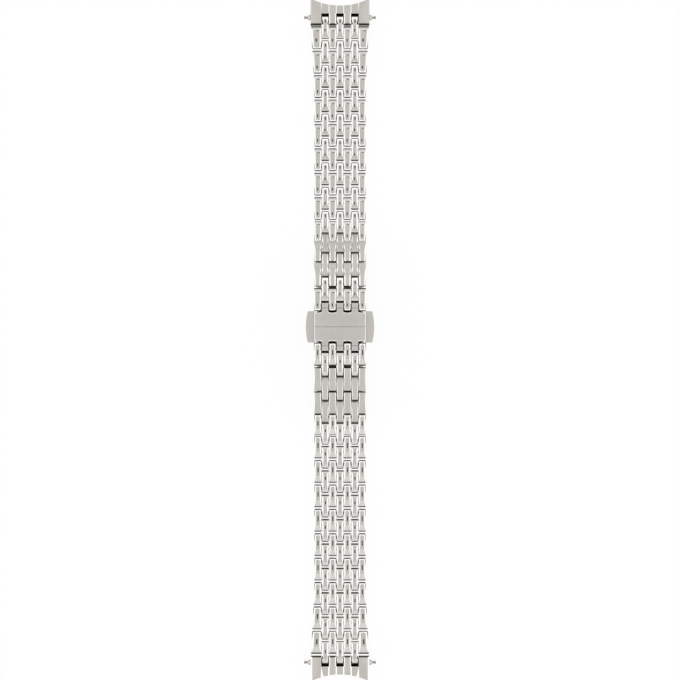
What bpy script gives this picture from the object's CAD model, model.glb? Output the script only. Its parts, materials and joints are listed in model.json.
import json
import math

import bmesh
import bpy
from mathutils import Matrix, Vector

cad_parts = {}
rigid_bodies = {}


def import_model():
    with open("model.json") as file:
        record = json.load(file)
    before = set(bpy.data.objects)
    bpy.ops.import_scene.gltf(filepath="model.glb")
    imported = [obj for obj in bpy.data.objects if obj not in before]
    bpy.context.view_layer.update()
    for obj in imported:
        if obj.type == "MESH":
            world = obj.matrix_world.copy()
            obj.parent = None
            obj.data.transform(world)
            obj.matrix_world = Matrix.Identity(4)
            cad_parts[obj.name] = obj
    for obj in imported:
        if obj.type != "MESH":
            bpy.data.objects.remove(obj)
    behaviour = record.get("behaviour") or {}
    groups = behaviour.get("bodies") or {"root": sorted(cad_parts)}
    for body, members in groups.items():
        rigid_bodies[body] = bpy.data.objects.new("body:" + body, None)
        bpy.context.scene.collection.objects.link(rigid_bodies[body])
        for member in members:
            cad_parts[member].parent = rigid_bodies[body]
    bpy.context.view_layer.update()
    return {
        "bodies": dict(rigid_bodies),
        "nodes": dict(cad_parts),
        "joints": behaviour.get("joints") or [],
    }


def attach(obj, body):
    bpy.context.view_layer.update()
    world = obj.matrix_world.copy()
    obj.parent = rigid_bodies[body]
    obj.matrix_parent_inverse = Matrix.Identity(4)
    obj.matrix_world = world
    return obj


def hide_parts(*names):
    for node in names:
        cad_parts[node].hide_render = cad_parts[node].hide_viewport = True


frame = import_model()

# A small steel watch bracelet, laid out straight on a white table with its clasp closed, decorative
# side up. +Y runs towards the end link of the short side, +X across, +Z up. Everything is in metres.
MM = 0.001


# Table, studio and camera. The bracelet lies on a white table in a light tent with a long soft box on
# each side, so polished hollows that look sideways are white. The camera looks straight down from
# about 45 cm, which makes the raised clasp a little larger than the rest.
def linear(code):
    """A '#rrggbb' colour as a linear RGBA value."""
    parts = [int(code[i:i + 2], 16) / 255 for i in (1, 3, 5)]
    return [p / 12.92 if p <= 0.04045 else ((p + 0.055) / 1.055) ** 2.4 for p in parts] + [1]


def add_node(tree, kind, links=None, **settings):
    """Adds a node, sets its settings and unlinked sockets, and links the rest."""
    made = tree.nodes.new(kind)
    for name, value in settings.items():
        setattr(made, name, value)
    for key, value in (links or {}).items():
        socket = made.inputs[key]
        if isinstance(value, bpy.types.NodeSocket):
            tree.links.new(value, socket)
        else:
            socket.default_value = value
    return made


def add_object(name, data):
    """An object in the scene for a mesh or a camera."""
    made = bpy.data.objects.new(name, data)
    bpy.context.scene.collection.objects.link(made)
    return made


TENT_LEVEL = 0.66
SIDE_BOX_LEVEL = 1.12
TOP_STRIP_LEVEL = 1.02
STRIP_END_LEVEL = 1.11
# Where the lights fade, as the sideways or lengthways part of the direction to them
STRIP_SIDE_FADE = (0.2, 0.45)
STRIP_END_FADE = (0.25, 0.5)
BOX_INNER_FADE = (0.1, 0.3)
BOX_END_FADE = (0.7, 0.92)
PAPER_SHARE = 0.93
TABLE_HALF = 1.5
CAMERA_UP = 0.452
# A length of 164.17 mm fills the frame's height at 450 mm
SENSOR_MM = 36
FRAMED_MM = 164.17
FRAMED_AT_MM = 450
LENS_MM = SENSOR_MM * FRAMED_AT_MM / FRAMED_MM

# The tent: a bright strip over the bracelet, brighter towards both ends, and the two side boxes
world = bpy.data.worlds.new("Light tent")
bpy.context.scene.world = world
world.use_nodes = True
tent = world.node_tree
tent.nodes.clear()
aim = add_node(tent, "ShaderNodeSeparateXYZ", {
    0: add_node(tent, "ShaderNodeTexCoord").outputs["Generated"]})
across, along = (add_node(tent, "ShaderNodeMath", {0: aim.outputs[axis]}, operation="ABSOLUTE").outputs[0]
                 for axis in ("X", "Y"))
strip_level = add_node(tent, "ShaderNodeMapRange", {
    "Value": along, "From Min": STRIP_END_FADE[0], "From Max": STRIP_END_FADE[1],
    "To Min": TOP_STRIP_LEVEL, "To Max": STRIP_END_LEVEL})
strip = add_node(tent, "ShaderNodeMapRange", {
    "Value": across, "From Min": STRIP_SIDE_FADE[0], "From Max": STRIP_SIDE_FADE[1],
    "To Min": strip_level.outputs[0], "To Max": TENT_LEVEL}, interpolation_type="SMOOTHSTEP")
boxes = add_node(tent, "ShaderNodeMapRange", {
    "Value": across, "From Min": BOX_INNER_FADE[0], "From Max": BOX_INNER_FADE[1],
    "To Min": 0.0, "To Max": SIDE_BOX_LEVEL - TENT_LEVEL}, interpolation_type="SMOOTHSTEP")
box_ends = add_node(tent, "ShaderNodeMapRange", {
    "Value": along, "From Min": BOX_END_FADE[0], "From Max": BOX_END_FADE[1],
    "To Min": 1.0, "To Max": 0.0}, interpolation_type="SMOOTHSTEP")
box_light = add_node(tent, "ShaderNodeMath", {
    0: boxes.outputs[0], 1: box_ends.outputs[0]}, operation="MULTIPLY")
level = add_node(tent, "ShaderNodeMath", {
    0: strip.outputs[0], 1: box_light.outputs[0]}, operation="ADD")
tent_light = add_node(tent, "ShaderNodeBackground", {
    "Color": linear("#ffffff"), "Strength": level.outputs[0]})
add_node(tent, "ShaderNodeOutputWorld", {"Surface": tent_light.outputs[0]})

# The table: matt white lacquer that the camera and the steel see as paper white, with a trace of shadow
table_paint = bpy.data.materials.new("White lacquered table")
table_paint.use_nodes = True
paint = table_paint.node_tree
paint.nodes.clear()
path = add_node(paint, "ShaderNodeLightPath").outputs
seen = add_node(paint, "ShaderNodeMath", {
    0: path["Is Camera Ray"], 1: path["Is Glossy Ray"]}, operation="MAXIMUM")
seen = add_node(paint, "ShaderNodeMath", {
    0: seen.outputs[0], 1: path["Is Transmission Ray"]}, operation="MAXIMUM")
share = add_node(paint, "ShaderNodeMath", {0: seen.outputs[0], 1: PAPER_SHARE}, operation="MULTIPLY")
matt = add_node(paint, "ShaderNodeBsdfDiffuse", {"Color": linear("#f2f2f2")})
paper = add_node(paint, "ShaderNodeEmission", {"Color": linear("#ffffff"), "Strength": 1.0})
mixed = add_node(paint, "ShaderNodeMixShader", {
    0: share.outputs[0], 1: matt.outputs[0], 2: paper.outputs[0]})
add_node(paint, "ShaderNodeOutputMaterial", {"Surface": mixed.outputs[0]})

table_mesh = bpy.data.meshes.new("Table")
table_mesh.from_pydata(
    [(x * TABLE_HALF, y * TABLE_HALF, 0) for x, y in ((-1, -1), (1, -1), (1, 1), (-1, 1))],
    [], [(0, 1, 2, 3)])
table_mesh.materials.append(table_paint)
table = add_object("Table", table_mesh)

lens = bpy.data.cameras.new("Camera")
lens.lens = LENS_MM
lens.clip_start = 0.05
lens.clip_end = 5
camera = add_object("Camera", lens)
camera.location = (0, 0, CAMERA_UP)
bpy.context.scene.camera = camera
bpy.context.scene.view_settings.view_transform = "Standard"


# Links. Each is a stamped and milled piece of 316L steel that turns on cross pins: a narrow satin
# facet on top, hollow flanks polished bright, and end edges that the wheel doesn't reach and that stay
# dark. Rows of four flare away from the clasp and rows of three flare towards it.
LINK_PITCH = 2.95 * MM
COLUMN_PITCH = 1.78 * MM
LINK_HALF_W = 0.86 * MM
LINK_HALF_T = 0.95 * MM
FLARE_REACH = 1.38 * MM
CAP_ROUND = 0.45 * MM
FLARE_ROUND = 0.45 * MM
# A flank's depth beside a slim facet (it is shallower beside a wider one), and its least width
FLANK_DEPTH = 0.27 * MM
SLIM_FACET = 0.4 * MM
FLANK_LEAST_W = 0.02 * MM
RIM_DROP = 0.08 * MM
FOOT_BEVEL = 0.12 * MM
DIMPLE_HALF_W = 0.14 * MM
DIMPLE_WALL = 0.04 * MM
TINY = 0.001 * MM
SMOOTH_ANGLE = math.radians(28)
BRUSH_DEPTH = 0.006 * MM
CLOUD_SIZE = 3 * MM
CLOUD_SHARE = 0.4
NOISE_RANGE = (0.3, 0.7)
GLOSS_SPREAD = 0.15
SATIN, FINE, POLISHED, DULL = range(4)


def steel(name, colour, roughness, streak, lines, grain_mm=(0.2, 3.0), across=False):
    """Bare stainless steel with long streaks from the brush and slow clouds in its gloss.

    streak and lines are how strong the streaks' tint and relief are, grain_mm their width and length.
    """
    made = bpy.data.materials.new(name)
    made.use_nodes = True
    tree = made.node_tree
    tree.nodes.clear()
    place = add_node(tree, "ShaderNodeTexCoord")
    narrow, long = (1 / (g * MM) for g in grain_mm)
    turned = add_node(tree, "ShaderNodeMapping", {
        "Vector": place.outputs["Object"],
        "Scale": (long, narrow, long) if across else (narrow, long, narrow)})
    brush = add_node(tree, "ShaderNodeTexNoise", {
        "Vector": turned.outputs[0], "Scale": 1.0, "Detail": 2.0, "Roughness": 0.5})
    cloud = add_node(tree, "ShaderNodeTexNoise", {
        "Vector": place.outputs["Object"], "Scale": 1 / CLOUD_SIZE, "Detail": 1.0})
    both = add_node(tree, "ShaderNodeMix", {
        0: CLOUD_SHARE, 2: brush.outputs["Fac"], 3: cloud.outputs["Fac"]}, data_type="FLOAT")
    dark = [c * (1 - streak) for c in linear(colour)[:3]] + [1]
    light = [min(1, c * (1 + streak)) for c in linear(colour)[:3]] + [1]
    tint = add_node(tree, "ShaderNodeMix", {0: both.outputs[0], 6: dark, 7: light}, data_type="RGBA")
    gloss = add_node(tree, "ShaderNodeMapRange", {
        "Value": both.outputs[0], "From Min": NOISE_RANGE[0], "From Max": NOISE_RANGE[1],
        "To Min": roughness * (1 - GLOSS_SPREAD), "To Max": roughness * (1 + GLOSS_SPREAD)})
    relief = add_node(tree, "ShaderNodeBump", {
        "Height": brush.outputs["Fac"], "Strength": lines, "Distance": BRUSH_DEPTH})
    shader = add_node(tree, "ShaderNodeBsdfPrincipled", {
        "Base Color": tint.outputs[2], "Metallic": 1.0,
        "Roughness": gloss.outputs["Result"], "Normal": relief.outputs["Normal"]})
    add_node(tree, "ShaderNodeOutputMaterial", {"Surface": shader.outputs[0]})
    return made


# Satin: brushed along the bracelet with a fine belt; the real lines are 0.03 mm apart and are drawn
# 0.2 mm apart so that they show. It gives the warm grey of the facets.
satin_steel = steel("Steel, satin brushed along the bracelet", "#b9b6b0",
                    roughness=0.3, streak=0.1, lines=0.3)
# Fine satin: sides and the lower ends of the tops, which the belt only just touches
fine_steel = steel("Steel, fine satin", "#cfccc7", roughness=0.26, streak=0.06, lines=0.2)
# Polished: buffed on a wheel, so it mirrors the white table and soft boxes and looks white
polished_steel = steel("Steel, wheel polished", "#f4f3f1",
                       roughness=0.09, streak=0.02, lines=0.05, grain_mm=(0.5, 2.0))
# Dull: as stamped and tumbled, with polishing dirt in the gaps; it gives the thin dark outlines
dull_steel = steel("Steel, tumbled and dark in the gaps", "#55524d",
                   roughness=0.5, streak=0.12, lines=0.3, grain_mm=(0.15, 0.3))
LINK_FINISHES = [satin_steel, fine_steel, polished_steel, dull_steel]


def link_profile(flare, y, cap_reach, flare_reach):
    """Top and bottom height of a link seen from the side, at a distance from its inner pin."""
    cap_pin, flare_pin = (LINK_PITCH, 0) if flare < 0 else (0, LINK_PITCH)
    past_cap = -flare * (y - cap_pin)
    past_nose = flare * (y - flare_pin) - (flare_reach - FLARE_ROUND)
    if past_cap > 0:
        past_round = max(past_cap - (cap_reach - CAP_ROUND), 0)
        top = LINK_HALF_T - CAP_ROUND + math.sqrt(max(CAP_ROUND ** 2 - past_round ** 2, 0))
        return top, -math.sqrt(max(LINK_HALF_T ** 2 - past_cap ** 2, 0))
    if past_nose > 0:
        tall = LINK_HALF_T - FLARE_ROUND + math.sqrt(max(FLARE_ROUND ** 2 - past_nose ** 2, 0))
        return tall, -tall
    return LINK_HALF_T, -LINK_HALF_T


def smooth_gently(bm):
    """Smooth shading over gentle edges only."""
    for face in bm.faces:
        face.smooth = True
    for edge in bm.edges:
        edge.smooth = edge.calc_face_angle(math.pi) < SMOOTH_ANGLE


def link_mesh(name, flare, stations, dimples, ends):
    """One link, lofted through its stations; the inner pin is at the origin and +Y leads outwards.

    A station is (distance, half width, half facet, rim, finishes of the facet, flank and rim that
    follow), in mm. Dimples are (distance, half length, offset to the side, half width, depth). The
    end faces get the finish called ends.
    """
    cuts = [tuple(v * MM for v in s[:4]) + (s[4],) for s in stations]
    reaches = (-cuts[0][0], cuts[-1][0] - LINK_PITCH)[::flare]
    pits = []
    for values in dimples:
        at, half, offset, half_w, depth = (v * MM for v in values)
        pits.append((at - half, at + half, offset, half_w, depth))
        for y in pits[-1][:2]:
            k = max(i for i, c in enumerate(cuts) if c[0] < y)
            share = (y - cuts[k][0]) / (cuts[k + 1][0] - cuts[k][0])
            between = [a + (b - a) * share for a, b in zip(cuts[k][:4], cuts[k + 1][:4])]
            cuts.insert(k + 1, tuple(between) + (cuts[k][4],))
    bm = bmesh.new()
    finish = bm.faces.layers.int.new("finish")
    rings = []
    for y, w, f, rim, _ in cuts:
        top, bottom = link_profile(flare, y, *reaches)
        tall = (top - bottom) / (2 * LINK_HALF_T)
        foot = max(w - rim, f + FLANK_LEAST_W)
        drop = FLANK_DEPTH * tall * (foot - f) / (LINK_HALF_W - SLIM_FACET)
        pit = [p for p in pits if p[0] - TINY <= y <= p[1] + TINY]
        offset, middle = pit[0][2:4] if pit else (0, min(DIMPLE_HALF_W, f / 2))
        bevel = FOOT_BEVEL * tall
        right = [(f, top), (foot, top - drop), (w, top - drop - RIM_DROP * tall),
                 (w, bottom + bevel), (w - bevel, bottom)]
        section = [(offset - middle, top), (offset + middle, top)]
        section += right + [(-x, z) for x, z in reversed(right)]
        rings.append([bm.verts.new((x, y, z)) for x, z in section])
    sides = len(rings[0])
    hollows = []
    for i, (a, b) in enumerate(zip(rings, rings[1:])):
        middle = (cuts[i][0] + cuts[i + 1][0]) / 2
        pit = [p for p in pits if p[0] < middle < p[1]]
        facet, flank, rim = cuts[i][4]
        for k in range(sides):
            n = (k + 1) % sides
            face = bm.faces.new((a[k], a[n], b[n], b[k]))
            mirrored = min(k, sides - k)
            face[finish] = {0: facet, 1: facet, 2: flank, 3: rim}.get(mirrored, FINE)
            if pit and k == 0:
                hollows.append((face, pit[0][4]))
    bm.faces.new(list(reversed(rings[0])))[finish] = ends
    bm.faces.new(rings[-1])[finish] = ends
    bmesh.ops.recalc_face_normals(bm, faces=bm.faces)
    for face, depth in hollows:
        walls = bmesh.ops.inset_individual(bm, faces=[face], thickness=DIMPLE_WALL, depth=-depth)["faces"]
        for dark in walls + [face]:
            dark[finish] = DULL
    smooth_gently(bm)
    made = bpy.data.meshes.new(name)
    bm.to_mesh(made)
    bm.free()
    return made


# Finishes of the facet, the flank and the rim beside a stretch of a link
DARK = (DULL, DULL, DULL)
BRIGHT = (POLISHED, POLISHED, DULL)
OPEN = (SATIN, POLISHED, POLISHED)
EDGED = (SATIN, POLISHED, DULL)
COLLAR = (FINE, POLISHED, POLISHED)
CAP = (FINE, POLISHED, DULL)

# Four-link rows: a rounded inner end, a straight shank and a flared outer end. On the short side of
# the clasp the facet stops at a step below a full-width collar; on the long side it fans out.
SHORT_SHANK = [
    (-1.03, 0.66, 0.06, 0.1, DARK), (-0.97, 0.76, 0.08, 0.1, DARK), (-0.82, 0.84, 0.12, 0.1, BRIGHT),
    (-0.62, 0.86, 0.3, 0.12, EDGED), (-0.42, 0.86, 0.5, 0.12, EDGED), (0.9, 0.86, 0.52, 0.04, OPEN),
    (3.5, 0.86, 0.56, 0.03, COLLAR), (3.78, 0.86, 0.78, 0.02, COLLAR), (4.15, 0.86, 0.84, 0.01, DARK),
    (4.35, 0.86, 0.84, 0.01, DARK), (4.45, 0.86, 0.84, 0.01, DARK)]
SHORT_SHANK_PITS = [(0.42, 0.36, -0.05, 0.14, 0.12), (3.38, 0.09, 0.18, 0.26, 0.05)]
LONG_SHANK = [
    (-1.03, 0.7, 0.06, 0.1, DARK), (-0.97, 0.78, 0.08, 0.1, DARK), (-0.8, 0.85, 0.12, 0.1, BRIGHT),
    (-0.6, 0.86, 0.3, 0.14, EDGED), (-0.4, 0.86, 0.46, 0.14, EDGED), (0.9, 0.86, 0.46, 0.05, OPEN),
    (2.8, 0.86, 0.47, 0.04, COLLAR), (3.7, 0.86, 0.68, 0.02, COLLAR), (4.15, 0.86, 0.84, 0.01, DARK),
    (4.35, 0.86, 0.84, 0.01, DARK), (4.45, 0.86, 0.84, 0.01, DARK)]
LONG_SHANK_PITS = [(1.28, 0.6, -0.04, 0.14, 0.14)]
# Three-link rows: a bell towards the clasp, a slim stem and a narrower cap
SHORT_BELL = [
    (-1.5, 0.86, 0.85, 0.01, DARK), (-1.4, 0.86, 0.85, 0.01, DARK), (-1.26, 0.86, 0.85, 0.01, COLLAR),
    (-0.98, 0.86, 0.84, 0.02, OPEN), (-0.5, 0.86, 0.62, 0.02, OPEN), (0.05, 0.86, 0.43, 0.03, OPEN),
    (2.05, 0.86, 0.4, 0.05, EDGED), (3.1, 0.86, 0.4, 0.12, EDGED), (3.36, 0.86, 0.3, 0.12, BRIGHT),
    (3.56, 0.85, 0.1, 0.1, BRIGHT), (3.74, 0.84, 0.1, 0.1, DARK), (3.92, 0.8, 0.08, 0.1, DARK),
    (3.98, 0.72, 0.06, 0.1, DARK)]
SHORT_BELL_PITS = [(0.0, 0.32, -0.06, 0.13, 0.1), (2.74, 0.34, 0.05, 0.14, 0.1)]
LONG_BELL = [
    (-1.5, 0.86, 0.85, 0.01, DARK), (-1.4, 0.86, 0.85, 0.01, DARK), (-1.26, 0.86, 0.83, 0.02, COLLAR),
    (-0.9, 0.86, 0.5, 0.03, OPEN), (-0.55, 0.86, 0.41, 0.04, OPEN), (2.05, 0.86, 0.41, 0.05, EDGED),
    (2.9, 0.83, 0.52, 0.14, CAP), (3.72, 0.76, 0.6, 0.14, DARK),
    (3.82, 0.75, 0.6, 0.12, DARK), (3.92, 0.72, 0.58, 0.1, DARK), (3.98, 0.66, 0.56, 0.08, DARK)]
LONG_BELL_PITS = [(0.38, 0.38, -0.04, 0.13, 0.12)]
# On the slopes beside the clasp the flat tops are wider, run closer to the ends and stay satin there
SHORT_SLOPED_SHANK = [
    (-1.12, 0.66, 0.3, 0.05, EDGED), (-1.06, 0.76, 0.38, 0.06, EDGED), (-0.84, 0.84, 0.45, 0.06, EDGED),
    (0.7, 0.86, 0.46, 0.04, OPEN), (1.7, 0.86, 0.5, 0.04, OPEN), (2.5, 0.86, 0.6, 0.03, OPEN),
    (3.3, 0.86, 0.76, 0.03, EDGED), (3.9, 0.86, 0.83, 0.01, EDGED), (4.52, 0.86, 0.84, 0.01, EDGED),
    (4.6, 0.86, 0.84, 0.01, EDGED)]
SHORT_SLOPED_BELL = [
    (-1.7, 0.86, 0.84, 0.01, EDGED), (-1.5, 0.86, 0.83, 0.01, EDGED), (-1.1, 0.86, 0.76, 0.03, EDGED),
    (-0.6, 0.86, 0.55, 0.03, OPEN), (0.0, 0.86, 0.46, 0.03, OPEN), (1.2, 0.86, 0.44, 0.04, OPEN),
    (2.4, 0.86, 0.5, 0.1, EDGED), (3.3, 0.86, 0.6, 0.12, EDGED), (3.7, 0.85, 0.62, 0.12, EDGED),
    (3.88, 0.82, 0.56, 0.14, DARK), (3.98, 0.76, 0.42, 0.1, DARK), (4.04, 0.66, 0.2, 0.08, DARK)]
LONG_SLOPED_SHANK = [
    (-1.1, 0.78, 0.5, 0.05, EDGED), (-1.0, 0.82, 0.6, 0.05, EDGED), (-0.7, 0.86, 0.66, 0.03, OPEN),
    (1.4, 0.86, 0.64, 0.03, OPEN), (3.2, 0.86, 0.74, 0.02, OPEN), (4.5, 0.86, 0.84, 0.01, EDGED),
    (4.58, 0.86, 0.84, 0.01, EDGED)]
LONG_SLOPED_BELL = [
    (-1.7, 0.86, 0.82, 0.02, EDGED), (-1.4, 0.86, 0.82, 0.02, EDGED), (-0.6, 0.86, 0.74, 0.03, EDGED),
    (0.6, 0.86, 0.62, 0.06, EDGED), (1.6, 0.84, 0.56, 0.1, EDGED), (3.3, 0.8, 0.55, 0.14, EDGED),
    (3.8, 0.78, 0.54, 0.14, DARK), (3.92, 0.74, 0.46, 0.12, DARK), (4.0, 0.64, 0.3, 0.1, DARK)]


# The cross pins are drawn wire, cut and set below the outer links' sides
pin_steel = steel("Steel wire, drawn", "#a8a6a2",
                  roughness=0.3, streak=0.08, lines=0.2, grain_mm=(0.1, 1.5), across=True)
PIN_R = 0.35 * MM
PIN_SIDES = 20
PIN_RECESS = 0.15 * MM
OUTER_COLUMN = 3.0


def row_tree():
    """Lays one link out across a row, widens the outer ones, adds the cross pin and places the row."""
    tree = bpy.data.node_groups.new("Row of links", "GeometryNodeTree")
    kinds = {"Link": "Geometry", "Links in the row": "Int", "Column pitch": "Float",
             "Link half width": "Float", "Inner edge": "Float", "Outer edge": "Float",
             "Inner widening": "Float", "Outer widening": "Float", "Pin radius": "Float",
             "Pin length": "Float", "Pin distance": "Float", "Turn": "Vector", "Inner pin": "Vector"}
    for name, kind in kinds.items():
        tree.interface.new_socket(name, in_out="INPUT", socket_type="NodeSocket" + kind)
    tree.interface.new_socket("Row", in_out="OUTPUT", socket_type="NodeSocketGeometry")
    given = add_node(tree, "NodeGroupInput").outputs
    # The links of a row stand two columns apart, with the row's middle on the bracelet's
    step = add_node(tree, "ShaderNodeMath", {0: given["Column pitch"], 1: 2.0}, operation="MULTIPLY")
    gaps = add_node(tree, "ShaderNodeMath", {
        0: 1.0, 1: given["Links in the row"]}, operation="SUBTRACT")
    start = add_node(tree, "ShaderNodeMath", {
        0: gaps.outputs[0], 1: given["Column pitch"]}, operation="MULTIPLY")
    line = add_node(tree, "GeometryNodeMeshLine", {
        "Count": given["Links in the row"],
        "Start Location": add_node(tree, "ShaderNodeCombineXYZ", {0: start.outputs[0]}).outputs[0],
        "Offset": add_node(tree, "ShaderNodeCombineXYZ", {0: step.outputs[0]}).outputs[0]})
    laid = add_node(tree, "GeometryNodeInstanceOnPoints", {
        "Points": line.outputs[0], "Instance": given["Link"]})
    single = add_node(tree, "GeometryNodeRealizeInstances", {0: laid.outputs[0]})
    # The outer links stretch outwards from their inner sides, more towards the watch
    where = add_node(tree, "ShaderNodeSeparateXYZ", {
        0: add_node(tree, "GeometryNodeInputPosition").outputs[0]}).outputs
    wider = add_node(tree, "ShaderNodeMapRange", {
        "Value": where["Y"], "From Min": given["Inner edge"], "From Max": given["Outer edge"],
        "To Min": given["Inner widening"], "To Max": given["Outer widening"]})
    out = add_node(tree, "ShaderNodeMath", {0: where["X"]}, operation="ABSOLUTE")
    middle = add_node(tree, "ShaderNodeMath", {
        0: given["Column pitch"], 1: OUTER_COLUMN}, operation="MULTIPLY")
    inner, outer = (add_node(tree, "ShaderNodeMath", {
        0: middle.outputs[0], 1: given["Link half width"]}, operation=o) for o in ("SUBTRACT", "ADD"))
    stretch = add_node(tree, "ShaderNodeMapRange", {
        "Value": out.outputs[0], "From Min": inner.outputs[0], "From Max": outer.outputs[0],
        "To Min": 0.0, "To Max": wider.outputs[0]})
    side = add_node(tree, "ShaderNodeMath", {0: where["X"]}, operation="SIGN")
    shift = add_node(tree, "ShaderNodeMath", {
        0: side.outputs[0], 1: stretch.outputs[0]}, operation="MULTIPLY")
    made = add_node(tree, "GeometryNodeSetPosition", {
        "Geometry": single.outputs[0],
        "Offset": add_node(tree, "ShaderNodeCombineXYZ", {0: shift.outputs[0]}).outputs[0]}).outputs[0]
    finish = add_node(tree, "GeometryNodeInputNamedAttribute", {"Name": "finish"}, data_type="INT")
    for index, material in enumerate(LINK_FINISHES):
        chosen = add_node(tree, "FunctionNodeCompare", {
            2: finish.outputs[0], 3: index}, data_type="INT", operation="EQUAL")
        made = add_node(tree, "GeometryNodeSetMaterial", {
            "Geometry": made, "Selection": chosen.outputs[0], "Material": material}).outputs[0]
    rod = add_node(tree, "GeometryNodeMeshCylinder", {
        "Vertices": PIN_SIDES, "Radius": given["Pin radius"], "Depth": given["Pin length"]})
    pin = add_node(tree, "GeometryNodeTransform", {
        "Geometry": rod.outputs["Mesh"], "Rotation": (0, math.pi / 2, 0),
        "Translation": add_node(tree, "ShaderNodeCombineXYZ", {1: given["Pin distance"]}).outputs[0]})
    pinned = add_node(tree, "GeometryNodeSetMaterial", {
        "Geometry": pin.outputs[0], "Material": pin_steel})
    joined = add_node(tree, "GeometryNodeJoinGeometry")
    tree.links.new(made, joined.inputs[0])
    tree.links.new(pinned.outputs[0], joined.inputs[0])
    placed = add_node(tree, "GeometryNodeTransform", {
        "Geometry": joined.outputs[0], "Rotation": given["Turn"], "Translation": given["Inner pin"]})
    add_node(tree, "NodeGroupOutput", {0: placed.outputs[0]})
    return tree


rows_of_links = row_tree()
inputs_of_rows = {s.name: s.identifier for s in rows_of_links.interface.items_tree if s.in_out == "INPUT"}


def bake(source, name):
    """The finished mesh of an object with its modifiers, as a plain object at the origin."""
    bpy.context.view_layer.update()
    shape = source.evaluated_get(bpy.context.evaluated_depsgraph_get())
    mesh = bpy.data.meshes.new_from_object(shape)
    mesh.transform(source.matrix_world)
    bpy.data.objects.remove(source)
    if "finish" in mesh.attributes:
        mesh.attributes.remove(mesh.attributes["finish"])
    mesh.name = name
    return add_object(name, mesh)


TAPER_EXTRA = 0.9 * MM
TAPER_LENGTH = 17.6 * MM


def widening(distance):
    """Extra width of an outer link at a distance from the end link's own pin."""
    return max(0, TAPER_EXTRA * (1 - (distance + LINK_HALF_T) / TAPER_LENGTH))


# The second row tips over beside the clasp and the next four lie on the slope. In the last two the
# dimples lie further out.
CREST_ROW = 2
SLOPED_ROWS = range(3, 7)
LAST_ROWS = 2
hinges = {j["child"]: Vector(j["pos_m"]) for j in frame["joints"] if j["type"] == "hinge"}
for side, sign, shank, shank_pits, bell, bell_pits, sloped_shank, sloped_bell, pit_shifts in (
        ("short", 1, SHORT_SHANK, SHORT_SHANK_PITS, SHORT_BELL, SHORT_BELL_PITS,
         SHORT_SLOPED_SHANK, SHORT_SLOPED_BELL, (0.75, 0.6)),
        ("long", -1, LONG_SHANK, LONG_SHANK_PITS, LONG_BELL, LONG_BELL_PITS,
         LONG_SLOPED_SHANK, LONG_SLOPED_BELL, (0.3, 0.7))):
    rows = len([b for b in frame["bodies"] if b.startswith(side + "_row_")])
    last_pits = [[(at + shift, *rest) for at, *rest in pits[:1]] + pits[1:]
                 for pits, shift in zip((shank_pits, bell_pits), pit_shifts)]
    # The second row's bells reach closer to the fingers, and their caps stay bright to the end
    crest_bell = [(-1.66, 0.86, 0.85, 0.01, DARK), (-1.6, 0.86, 0.85, 0.01, COLLAR)] + bell[2:-3]
    crest_bell += [(*station[:4], BRIGHT) for station in bell[-3:]]
    shapes = {
        "level": (link_mesh(side + " shank link", 1, shank, shank_pits, DULL),
                  link_mesh(side + " bell link", -1, bell, bell_pits, DULL)),
        "sloped": (link_mesh(side + " sloped shank link", 1, sloped_shank, [], FINE),
                   link_mesh(side + " sloped bell link", -1, sloped_bell, [], FINE)),
        "last": (link_mesh(side + " last shank link", 1, shank, last_pits[0], DULL),
                 link_mesh(side + " last bell link", -1, bell, last_pits[1], DULL)),
        "crest": (None, link_mesh(side + " crest bell link", -1, crest_bell, bell_pits, DULL))}
    for index in range(1, rows + 1):
        body = f"{side}_row_{index:02d}"
        following = f"{side}_row_{index + 1:02d}" if index < rows else f"end_link_{side}"
        inner, outer = hinges[body], hinges[following]
        rise = math.atan2(outer.z - inner.z, sign * (outer.y - inner.y))
        flares_out = index % 2 == 1
        place = ("crest" if index == CREST_ROW else "sloped" if index in SLOPED_ROWS
                 else "last" if index > rows - LAST_ROWS else "level")
        left = (rows - index + 1) * LINK_PITCH
        reach_in, reach_out = (LINK_HALF_T, FLARE_REACH)[::1 if flares_out else -1]
        pin_extra = TAPER_EXTRA if index == rows else widening(left - LINK_PITCH)
        values = {
            "Links in the row": 4 if flares_out else 3,
            "Column pitch": COLUMN_PITCH,
            "Link half width": LINK_HALF_W,
            "Inner edge": -reach_in,
            "Outer edge": LINK_PITCH + reach_out,
            "Inner widening": widening(left + reach_in) if flares_out else 0.0,
            "Outer widening": widening(left - LINK_PITCH - reach_out) if flares_out else 0.0,
            "Pin radius": PIN_R,
            "Pin length": 2 * (OUTER_COLUMN * COLUMN_PITCH + LINK_HALF_W + pin_extra - PIN_RECESS),
            "Pin distance": LINK_PITCH,
            # The long side's rows are made leading the same way and turned end for end
            "Turn": (rise, 0.0, 0.0 if sign > 0 else math.pi),
            "Inner pin": tuple(inner)}
        source = add_object(body + "_source", shapes[place][0 if flares_out else 1].copy())
        maker = source.modifiers.new("Row of links", "NODES")
        maker.node_group = rows_of_links
        for name, value in values.items():
            maker[inputs_of_rows[name]] = value
        row = bake(source, body + "_links")
        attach(row, body)
        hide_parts(body)


# End links. Each is one block milled from steel, hung on the last cross pin: four ears that hold the
# pin, three slots between them, a hollow edge that fits the watch case, and V grooves that carry the
# look of the links on.
END_HALF_W = 7.1 * MM
END_TOP = 0.95 * MM
END_BOTTOM = -2.55 * MM
END_REACH = 3.35 * MM
CASE_R = 15.4 * MM
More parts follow.
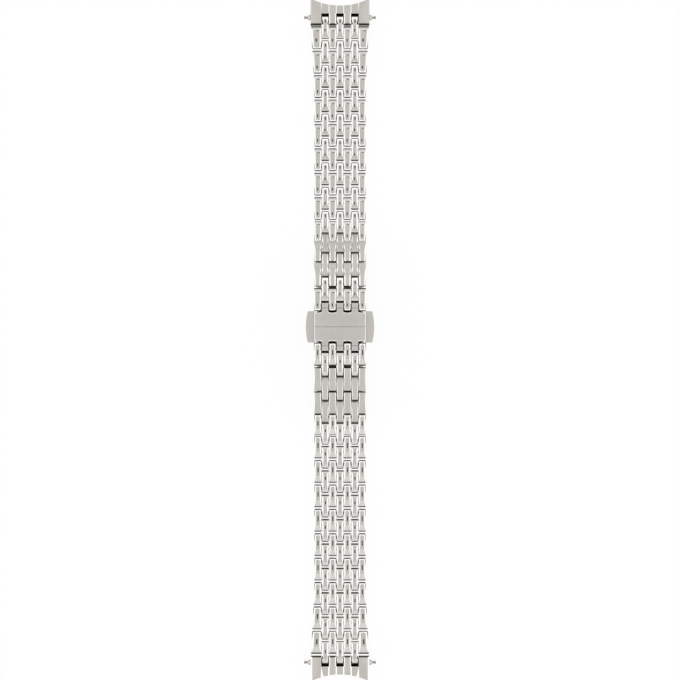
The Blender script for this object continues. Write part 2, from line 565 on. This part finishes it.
# A slot ends at a shelf and makes room below it for a link's tip that swings down
SLOT_HALF_W = 0.93 * MM
SLOT_END = 1.44 * MM
SHELF_START = 0.9 * MM
SHELF_Z = -0.6 * MM
TIP_CUT_R = 1.07 * MM
TIP_CUT_ARC = (-34, -50)
SLOT_SWING = math.radians(40)
PIN_BORE_R = 0.38 * MM
BAR_AT = (0.88 * MM, -1.7 * MM)
BAR_BORE_R = 0.63 * MM
EAR_ROUND = 0.3 * MM
LEDGE_TOP = 0.25 * MM
LEDGE_BOTTOM = -0.2 * MM
# Steps along the arcs and around the circles
EAR_ROUND_STEPS = 4
EAR_FOOT_STEPS = 10
TIP_CUT_STEPS = 3
CASE_STEPS = 200
PIN_BORE_STEPS = 24
BAR_STEPS = 32
# How far cutting bodies reach above, below, in front of, beyond and beside a block
ABOVE = 3 * END_TOP
DEEP = 4 * MM
BEFORE = -2 * MM
BEYOND = 6 * MM
ASIDE = 8 * MM
END_EDGE_SPAN = (-3 * MM, 7 * MM)
# The boundaries between the columns, in column pitches, and the V grooves: half widths, how far two
# overlap, and slopes in degrees
COLUMN_EDGES = (-2.5, -1.5, -0.5, 0.5, 1.5, 2.5)
EAR_GROOVE_HALF_W = 0.27 * MM
EDGE_GROOVE_HALF_W = 0.12 * MM
GROOVE_LAP = 0.1 * MM
GROOVE_SLOPE = 22
BEVEL_SLOPE = 20
EDGE_SLOPE = 50
# How far edges are rounded, and from how many degrees on
END_ROUND = 0.03 * MM
END_SHARP = 40
# The fans: how far their two outer corners lie outside the columns' boundary, how many times the given
# width they are wide at the far end, and how deep their three corners are
FAN_OFFSETS = (0.12 * MM, 0.2 * MM)
FAN_SPREAD = 1.3
FAN_DEPTHS = (0.02 * MM, 0.02 * MM, 0.55 * MM)
# Black: the slots' floors, where no light and no polishing wheel reaches
BLACK = len(LINK_FINISHES)
black_steel = steel("Steel, blackened in the slots", "#191817",
                    roughness=0.6, streak=0.1, lines=0.2, grain_mm=(0.2, 0.4))
END_FINISHES = LINK_FINISHES + [black_steel]


def arc(centre, radius, start, end, steps):
    """Points along an arc, from one angle in degrees to another."""
    angles = [math.radians(start + (end - start) * i / steps) for i in range(steps + 1)]
    return [(centre[0] + radius * math.cos(a), centre[1] + radius * math.sin(a)) for a in angles]


def circle(centre, radius, steps):
    """Points around a full circle."""
    return arc(centre, radius, 0, 360, steps)[:-1]


def object_from(bm, name, materials):
    """Turns a bmesh into an object with its materials."""
    mesh = bpy.data.meshes.new(name)
    bm.to_mesh(mesh)
    bm.free()
    for material in materials:
        mesh.materials.append(material)
    return add_object(name, mesh)


def solid(first, second, finishes):
    """A closed solid between two outlines; finishes holds each side's, then both ends'."""
    bm = bmesh.new()
    sides = len(first)
    finishes = finishes if isinstance(finishes, list) else [finishes] * (sides + 1)
    rings = [[bm.verts.new(corner) for corner in outline] for outline in (first, second)]
    for i in range(sides):
        n = (i + 1) % sides
        bm.faces.new((rings[0][i], rings[0][n], rings[1][n], rings[1][i])).material_index = finishes[i]
    for ring in rings:
        bm.faces.new(ring).material_index = finishes[-1]
    bmesh.ops.recalc_face_normals(bm, faces=bm.faces)
    return object_from(bm, "solid", END_FINISHES)


def prism(outline, axis, low, high, finishes):
    """A straight solid over an outline, from low to high.

    Axis 0 runs across the bracelet over (y, z), axis 1 along it over (x, z), axis 2 up over (x, y).
    """
    ends = [[(*p[:axis], level, *p[axis:]) for p in outline] for level in (low, high)]
    return solid(*ends, finishes)


def cut(block, tools):
    """Cuts each tool out of the block; the cut faces keep the tool's finish."""
    for tool in tools:
        step = block.modifiers.new("Cut", "BOOLEAN")
        step.object = tool
        step.operation = "DIFFERENCE"
        step.solver = "EXACT"
        step.material_mode = "TRANSFER"


def break_edges(block, width, limit, segments=1, finish=-1):
    """Rounds the edges sharper than a limit in degrees; finish -1 is that of the faces beside them."""
    step = block.modifiers.new("Broken edges", "BEVEL")
    step.width = width
    step.segments = segments
    step.limit_method = "ANGLE"
    step.angle_limit = math.radians(limit)
    step.material = finish


def soften(made):
    """Smooth shading over gentle edges only, for a finished piece."""
    bm = bmesh.new()
    bm.from_mesh(made.data)
    smooth_gently(bm)
    bm.to_mesh(made.data)
    bm.free()


def groove(half_w, slope, start, end, finish=POLISHED):
    """A cutter for a V groove along the top of an end link or a finger, centred on x = 0."""
    depth = half_w * math.tan(math.radians(slope))
    return prism([(-2 * half_w, END_TOP + depth), (2 * half_w, END_TOP + depth), (0, END_TOP - depth)],
                 1, start, end, finish)


# The two end links differ a little in their grooves, side bevels and fans, and in how far their ears
# and the dark ledge below the ears reach
for side, sign, groove_half, bevel, fan_w, ear_reach, ledge_reach in (
        ("short", 1, 0.07 * MM, 0.14 * MM, 0.45 * MM, 1.2 * MM, 1.32 * MM),
        ("long", -1, 0.15 * MM, 0.42 * MM, 0.95 * MM, 1.03 * MM, 1.0 * MM)):
    body = "end_link_" + side
    horn = END_REACH + CASE_R - math.sqrt(CASE_R ** 2 - END_HALF_W ** 2)
    ear = arc((EAR_ROUND - ear_reach, END_TOP - EAR_ROUND), EAR_ROUND, 90, 180, EAR_ROUND_STEPS)
    ear += [(-ledge_reach, LEDGE_TOP), (-ledge_reach, LEDGE_BOTTOM)]
    ear += arc((0, 0), LINK_HALF_T, 190, 270, EAR_FOOT_STEPS)
    block = prism([(0, END_BOTTOM), (horn, END_BOTTOM), (horn, END_TOP)] + ear, 0,
                  -END_HALF_W, END_HALF_W, [FINE, FINE, SATIN] + [DULL] * len(ear) + [FINE])
    slot = [(SLOT_END, ABOVE), (SLOT_END, SHELF_Z), (SHELF_START, SHELF_Z)]
    slot += arc((0, 0), TIP_CUT_R, *TIP_CUT_ARC, TIP_CUT_STEPS)
    slot += [(0, -TIP_CUT_R / math.cos(SLOT_SWING)), (0, -DEEP), (BEFORE, -DEEP), (BEFORE, ABOVE)]
    tools = []
    for column in (-2, 0, 2):
        x = column * COLUMN_PITCH
        tools.append(prism(slot, 0, x - SLOT_HALF_W, x + SLOT_HALF_W,
                           [BLACK, BLACK] + [DULL] * (len(slot) - 1)))
    tools.append(prism(circle((0, END_REACH + CASE_R), CASE_R, CASE_STEPS), 2, -DEEP, DEEP, FINE))
    tools.append(prism(circle((0, 0), PIN_BORE_R, PIN_BORE_STEPS), 0, -ASIDE, ASIDE, DULL))
    tools.append(prism(circle(BAR_AT, BAR_BORE_R, BAR_STEPS), 0, -ASIDE, ASIDE, DULL))
    for boundary in COLUMN_EDGES[1:-1]:
        for half, start, end in ((EAR_GROOVE_HALF_W, BEFORE, SLOT_END),
                                 (groove_half, SLOT_END - GROOVE_LAP, BEYOND)):
            tool = groove(half, GROOVE_SLOPE, start, end)
            tool.location.x = boundary * COLUMN_PITCH
            tools.append(tool)
    # Beside the outer ears the grooves fan out into bright three-cornered hollows
    for s in (-1, 1):
        near, far = (s * COLUMN_EDGES[-1] * COLUMN_PITCH + s * offset for offset in FAN_OFFSETS)
        fan = [(near, SLOT_END - GROOVE_LAP), (far, BEYOND), (far - s * fan_w * FAN_SPREAD, BEYOND)]
        tools.append(solid([(*p, 2 * END_TOP) for p in fan],
                           [(*p, END_TOP - depth) for p, depth in zip(fan, FAN_DEPTHS)], POLISHED))
        for half, slope, look in ((bevel, BEVEL_SLOPE, POLISHED), (EDGE_GROOVE_HALF_W, EDGE_SLOPE, FINE)):
            edge_cut = groove(half, slope, *END_EDGE_SPAN, look)
            edge_cut.location.x = s * END_HALF_W
            tools.append(edge_cut)
    cut(block, tools)
    break_edges(block, END_ROUND, END_SHARP)
    turn = Matrix.Rotation(0 if sign > 0 else math.pi, 4, "Z")
    block.matrix_world = Matrix.Translation(hinges[body]) @ turn
    for tool in tools:
        tool.parent = block
    made = bake(block, body + "_block")
    for tool in tools:
        bpy.data.objects.remove(tool)
    soften(made)
    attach(made, body)
    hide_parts(body)


# Spring bars. Each is a steel tube inside the end link with two turned tips: a collar, a cone down to
# the neck and a flared head that sits in the watch case's lug. They are turned on a lathe.
# Stations along half a bar: distance from its middle and radius in mm, and the finish that follows
BAR_PROFILE = [
    (0, 0.6, FINE), (7.04, 0.6, FINE), (7.12, 0.6, DULL), (7.14, 0.7, DULL), (7.22, 0.7, FINE),
    (7.62, 0.56, FINE), (7.72, 0.52, DULL), (7.8, 0.48, FINE), (8.02, 0.26, DULL), (8.14, 0.2, DULL),
    (8.26, 0.25, FINE), (8.5, 0.4, DULL), (8.57, 0.4, DULL), (8.62, 0.34, FINE), (8.63, 0.0, FINE)]
for side, sign in (("short", 1), ("long", -1)):
    bm = bmesh.new()
    outline = [(-x, r, k) for x, r, k in reversed(BAR_PROFILE[1:])] + BAR_PROFILE
    looks = [look for *_, look in BAR_PROFILE[:-1]]
    looks = looks[::-1] + looks
    rings = [[bm.verts.new((x * MM, r * MM * math.cos(a), r * MM * math.sin(a)))
              for a in (2 * math.pi * i / BAR_STEPS for i in range(BAR_STEPS))] for x, r, k in outline]
    for a, b, look in zip(rings, rings[1:], looks):
        for i in range(BAR_STEPS):
            n = (i + 1) % BAR_STEPS
            bm.faces.new((a[i], a[n], b[n], b[i])).material_index = look
    bmesh.ops.remove_doubles(bm, verts=bm.verts, dist=TINY)
    bmesh.ops.recalc_face_normals(bm, faces=bm.faces)
    centre = hinges["end_link_" + side] + Vector((0, sign * BAR_AT[0], BAR_AT[1]))
    bmesh.ops.translate(bm, verts=bm.verts, vec=centre)
    bar = object_from(bm, f"spring_bar_{side}_turned", LINK_FINISHES)
    soften(bar)
    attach(bar, "end_link_" + side)
    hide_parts("spring_bar_" + side)


# Clasp base and leaf spring. The base is an arched strip of steel, pressed and brushed, with a small
# milled housing on top for the two catches and a leaf spring bent from thin strip.
CLASP_ROUND = 0.07 * MM
CLASP_ROUND_STEPS = 2
CLASP_SHARP = 35
LEAF_ROUND = 0.01 * MM
FLAT_ANGLE = math.radians(1)
# A face looks in a direction when this much of its normal does
FACING = 0.5
CLASP_PLATE = len(END_FINISHES)
clasp_steel = steel("Steel, brushed clasp plates", "#b7b4af",
                    roughness=0.3, streak=0.08, lines=0.25, grain_mm=(0.2, 4.0))
CLASP_FINISHES = END_FINISHES + [clasp_steel]


def finished_copy(node, rounding, segments, look_at, rounded_look, tools=(), reshape=None):
    """A copy of a CAD solid with whole faces, broken edges and a finish for each face.

    reshape moves its corners, then look_at picks a finish from each face's middle and normal. After
    that the tools are cut out and the edges are broken, with the finish called rounded_look.
    """
    bm = bmesh.new()
    bm.from_mesh(frame["nodes"][node].data)
    bmesh.ops.remove_doubles(bm, verts=bm.verts, dist=TINY)
    bmesh.ops.dissolve_limit(bm, angle_limit=FLAT_ANGLE, verts=bm.verts, edges=bm.edges)
    if reshape:
        for corner in bm.verts:
            corner.co = reshape(corner.co)
    bm.normal_update()
    for face in bm.faces:
        face.material_index = look_at(face.calc_center_median(), face.normal)
    source = object_from(bm, node + "_source", CLASP_FINISHES)
    cut(source, tools)
    break_edges(source, rounding, CLASP_SHARP, segments, rounded_look)
    made = bake(source, node + "_finished")
    for tool in tools:
        bpy.data.objects.remove(tool)
    soften(made)
    return made


base = finished_copy("clasp_base", CLASP_ROUND, CLASP_ROUND_STEPS,
                     lambda at, way: CLASP_PLATE if abs(way.z) > FACING else FINE, POLISHED)
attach(base, "clasp")
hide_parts("clasp_base")
leaf = finished_copy("lock_spring", LEAF_ROUND, 1, lambda at, way: FINE, FINE)
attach(leaf, "clasp")
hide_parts("lock_spring")

# Folding arms. Each is a pressed strip of steel with a milled block welded to its end: half of the
# clasp's brushed cover, whose edges are polished, with three fingers that carry the first cross pin.
# The fingers' tips: how far they reach past the pin, the power that squares their outline (1 is round),
# and how close to the round outline of the solid a corner lies that is moved
TIP_REACH = 1.06 * MM
TIP_SQUARENESS = 0.55
TIP_TOLERANCE = 0.03 * MM
# Distances from the first pin: where a finger's tip has its own finishes, and how far the gaps reach.
# Outside the cover's half width its sides aren't dark.
TIP_BLOCK = (0.85 * MM, 1.4 * MM)
GAP_REACH = 1.7 * MM
COVER_HALF_W = 5.9 * MM
# Upward parts of a face's normal: a level face has more than the first, an upright one less than the
# second, and one that looks down less than the third
LEVEL_FACE = 0.9
UPRIGHT_FACE = 0.3
DOWNWARD_FACE = -0.2
# Thin dark lines beside the fingers, and one across them
FLUTE_HALF_W = 0.13 * MM
FLUTE_SPAN = (-1.25 * MM, 3 * MM)
CREASE_HALF_W = 0.05 * MM
CREASE_HALF_L = 5.5 * MM
CREASE_BACK = 0.3 * MM
LINE_SLOPE = 45


def arm_look(pin, sign):
    """The finish of an arm's face: brushed top and finger tips, dark gaps, polished edges."""
    def look(at, way):
        past = sign * (at.y - pin.y)
        off_pin = math.hypot(past, at.z - pin.z)
        if past > 0 and TIP_BLOCK[0] < off_pin < TIP_BLOCK[1] and abs(way.x) < FACING:
            return CLASP_PLATE if way.z > LEVEL_FACE else FINE if way.z > DOWNWARD_FACE else DULL
        if abs(past) < GAP_REACH and at.z < pin.z - LINK_HALF_T and way.z > FACING:
            return BLACK
        if (past > -GAP_REACH and at.z > pin.z - LINK_HALF_T and way.z < UPRIGHT_FACE
                and abs(at.x) < COVER_HALF_W):
            return DULL
        if abs(way.z) > LEVEL_FACE:
            return CLASP_PLATE
        return POLISHED if way.z > UPRIGHT_FACE else FINE
    return look


def arm_tips(pin, sign):
    """Moves the corners of the fingers' half-round tips out to the squarer tips of the real ones."""
    def reshape(corner):
        past = sign * (corner.y - pin.y)
        up = corner.z - pin.z
        if past < TINY or abs(math.hypot(past, up) - LINK_HALF_T) > TIP_TOLERANCE:
            return corner
        turn = math.atan2(abs(up), past)
        out = TIP_REACH * math.cos(turn) ** TIP_SQUARENESS
        rise = LINK_HALF_T * math.sin(turn) ** TIP_SQUARENESS
        return Vector((corner.x, pin.y + sign * out, pin.z + math.copysign(rise, up)))
    return reshape


for side, sign in (("short", 1), ("long", -1)):
    body = "arm_" + side
    pin = hinges[side + "_row_01"]
    lines = []
    for boundary in COLUMN_EDGES:
        start, end = sorted(pin.y + sign * reach for reach in FLUTE_SPAN)
        flute = groove(FLUTE_HALF_W, LINE_SLOPE, start, end, DULL)
        flute.location = (boundary * COLUMN_PITCH, 0, pin.z)
        lines.append(flute)
    crease = groove(CREASE_HALF_W, LINE_SLOPE, -CREASE_HALF_L, CREASE_HALF_L, DULL)
    crease.rotation_euler.z = math.pi / 2
    crease.location = (0, pin.y - sign * CREASE_BACK, pin.z)
    lines.append(crease)
    arm = finished_copy(body, CLASP_ROUND, CLASP_ROUND_STEPS, arm_look(pin, sign), POLISHED,
                        lines, arm_tips(pin, sign))
    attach(arm, body)
    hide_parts(body)

# Push-buttons. Each is a milled block of steel with a barrel-shaped outer side, brushed along the
# bracelet and rounded over its edges, on a flat tongue that goes into the housing.
BUTTON_MIDDLE = (hinges["short_row_01"].y + hinges["long_row_01"].y) / 2
BUTTON_LENGTH_SHARE = 0.965
BUTTON_ROUND = 0.4 * MM
BUTTON_ROUND_STEPS = 6


def clear_of_rows(corner):
    """Draws a button's ends back a little, so that the first rows of links pass them when they bend."""
    y = BUTTON_MIDDLE + BUTTON_LENGTH_SHARE * (corner.y - BUTTON_MIDDLE)
    return Vector((corner.x, y, corner.z))


for side in ("left", "right"):
    body = "button_" + side
    button = finished_copy(body, BUTTON_ROUND, BUTTON_ROUND_STEPS, lambda at, way: CLASP_PLATE,
                           CLASP_PLATE, reshape=clear_of_rows)
    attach(button, body)
    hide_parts(body)
